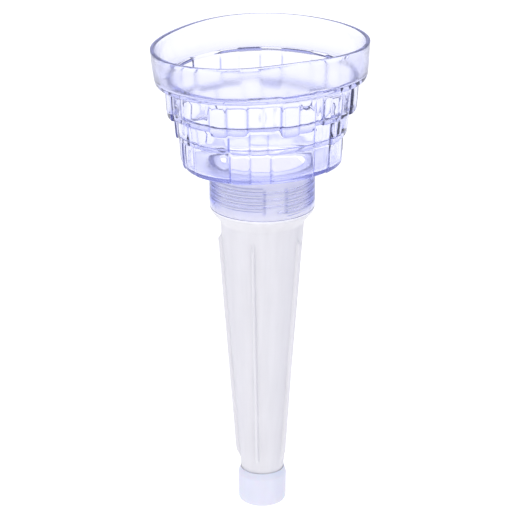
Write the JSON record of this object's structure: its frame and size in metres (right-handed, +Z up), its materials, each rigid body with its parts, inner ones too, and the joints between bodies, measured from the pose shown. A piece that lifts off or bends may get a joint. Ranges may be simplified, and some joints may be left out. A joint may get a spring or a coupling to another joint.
{
  "type": "canning funnel",
  "caption": "Canning funnel: clear stepped bowl, long tapered ribbed spout that screws into its neck with a seal ring, and a push-on tip cap.",
  "frame": {"origin": "on the spout's axis, in the plane of the neck's lower end", "axes": "+Z up out of the bowl's mouth; the bowl's flatter side faces -Y, a little towards +X"},
  "size_m": [0.1173, 0.1104, 0.2716],
  "materials": {
    "clear_plastic": "clear, faintly violet, polished",
    "spout_plastic": "milky white, satin",
    "seal_silicone": "translucent white, matte",
    "cap_plastic": "white, satin"
  },
  "bodies": {
    "bowl": {"bowl": "clear_plastic"},
    "seal": {"spout_seal": "seal_silicone"},
    "spout": {"spout": "spout_plastic"},
    "tip_cap": {"tip_cap": "cap_plastic"}
  },
  "joints": [
    {"name": "spout_unscrew", "type": "slide", "parent": "bowl", "child": "seal", "axis": [0, 0, -1], "range_m": [0, 0.015]},
    {"name": "spout_turn", "type": "hinge", "parent": "seal", "child": "spout", "pos_m": [0, 0, 0.011], "axis": [0, 0, -1], "range_deg": [0, 1441]},
    {"name": "cap_pull", "type": "slide", "parent": "spout", "child": "tip_cap", "axis": [0, 0, -1], "range_m": [0, 0.022]}
  ],
  "couplings": [
    {"joint": "spout_turn", "follows": "spout_unscrew", "rad_per_m": 1675.5}
  ]
}
